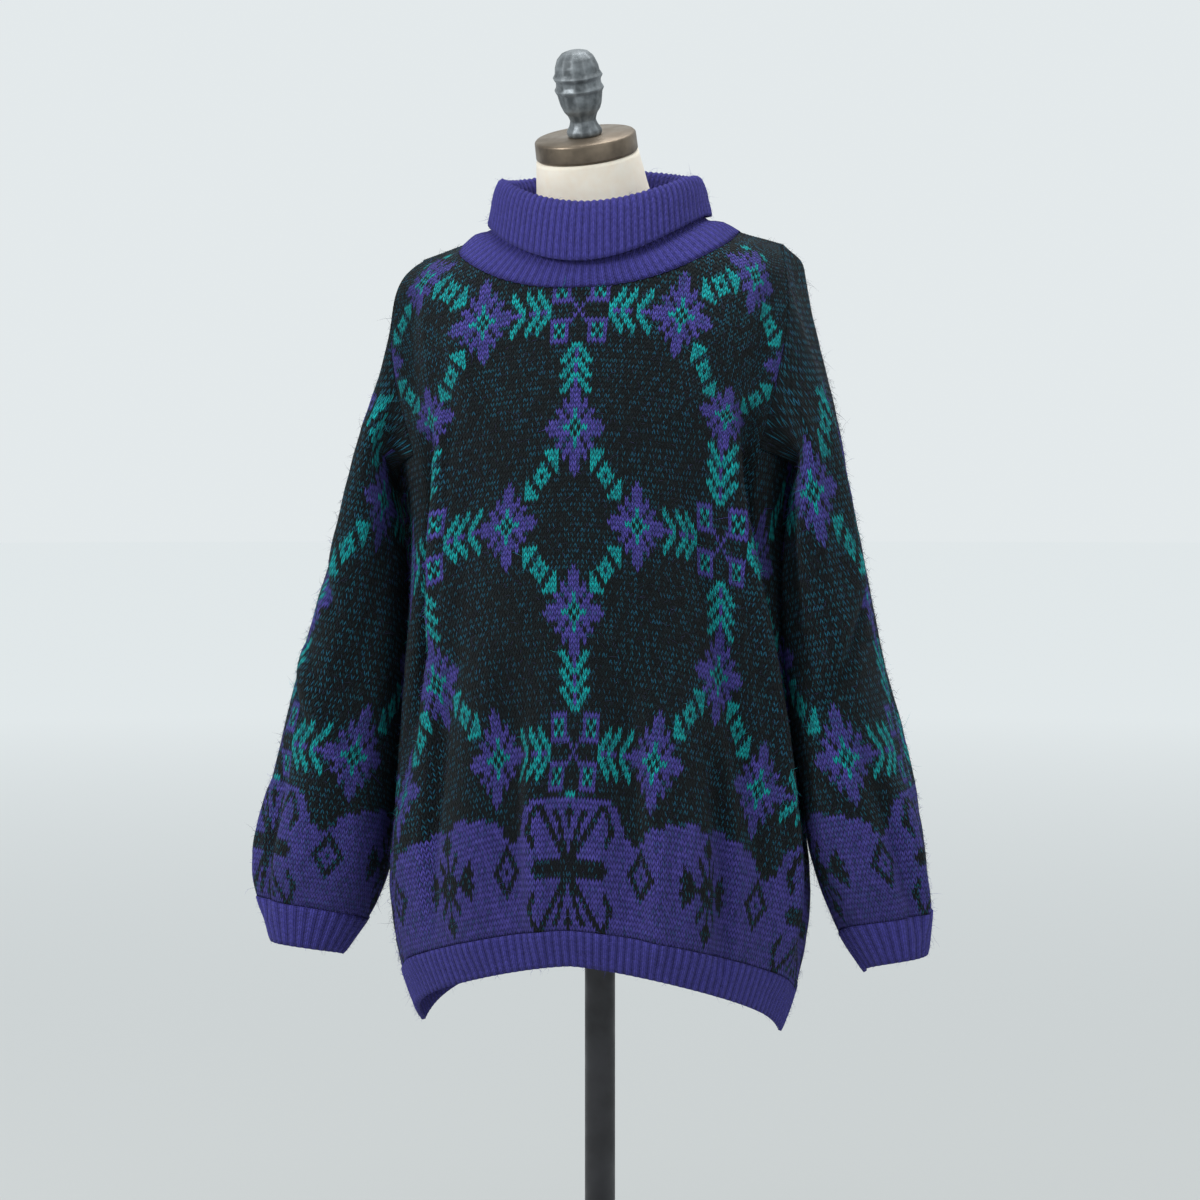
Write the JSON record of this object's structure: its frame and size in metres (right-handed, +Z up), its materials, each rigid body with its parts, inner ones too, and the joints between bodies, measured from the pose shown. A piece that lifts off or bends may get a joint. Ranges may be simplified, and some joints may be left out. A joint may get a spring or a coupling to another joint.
{
  "type": "turtleneck sweater on a dress form",
  "caption": "Loose patterned knit turtleneck sweater with hanging sleeves, resting on a limbless dress form with a finial, pole and round base.",
  "frame": {"origin": "centre of the flat underside of the form's round base, where the part stands", "axes": "+Z up along the form's pole, -Y towards the front of the sweater, +X towards the viewer's right"},
  "size_m": [0.7198, 0.42, 1.5823],
  "materials": {
    "knit": "brushed two-colour wool knit, near-black green with violet and teal motifs",
    "ribbing": "violet ribbed wool with a short halo",
    "form": "cream linen pulled smooth over the form",
    "cap": "aged bronze sheet",
    "finial": "worn grey cast metal",
    "stand": "satin black"
  },
  "bodies": {
    "root": {"front_panel": "knit", "back_panel": "knit", "sleeve_left": "knit", "sleeve_right": "knit", "hem_rib_front": "ribbing", "hem_rib_back": "ribbing", "cuff_left": "ribbing", "cuff_right": "ribbing", "collar": "ribbing", "form_torso": "form", "neck_cap": "cap", "finial": "finial", "pole": "stand", "base": "stand"}
  },
  "joints": []
}
